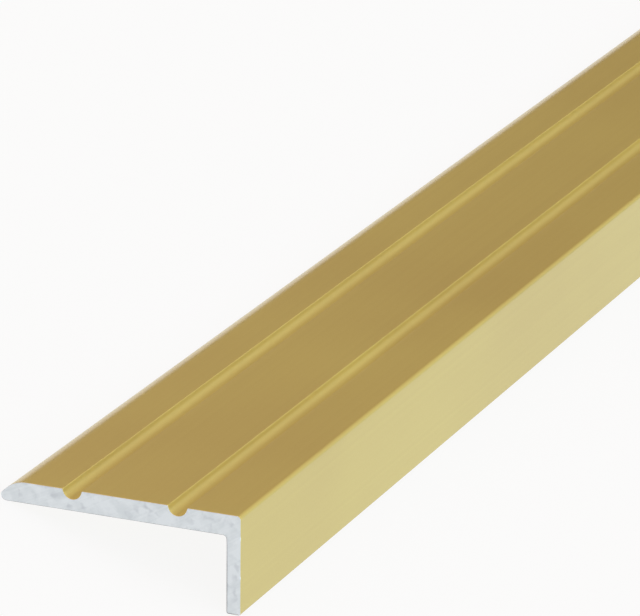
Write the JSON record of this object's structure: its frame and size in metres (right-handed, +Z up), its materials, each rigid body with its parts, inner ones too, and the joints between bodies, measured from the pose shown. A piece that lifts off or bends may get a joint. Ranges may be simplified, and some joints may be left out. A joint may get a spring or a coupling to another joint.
{
  "type": "stair nosing",
  "caption": "Extruded aluminium angle with a grooved, toe-bevelled tread leg and a short riser leg, bonded over the front edge of a step to guard it and give grip.",
  "frame": {"origin": "centre of the floor under the piece, as it lies on its toe and the foot of its riser leg", "axes": "+Y along the length, +Z up, +X from the toe of the tread leg towards the nose"},
  "size_m": [0.0264, 0.9, 0.0098],
  "materials": {
    "gold_anodised_aluminium": "satin gold anodised, with bare sawn ends"
  },
  "bodies": {
    "root": {"nosing_profile": "gold_anodised_aluminium"}
  },
  "joints": []
}
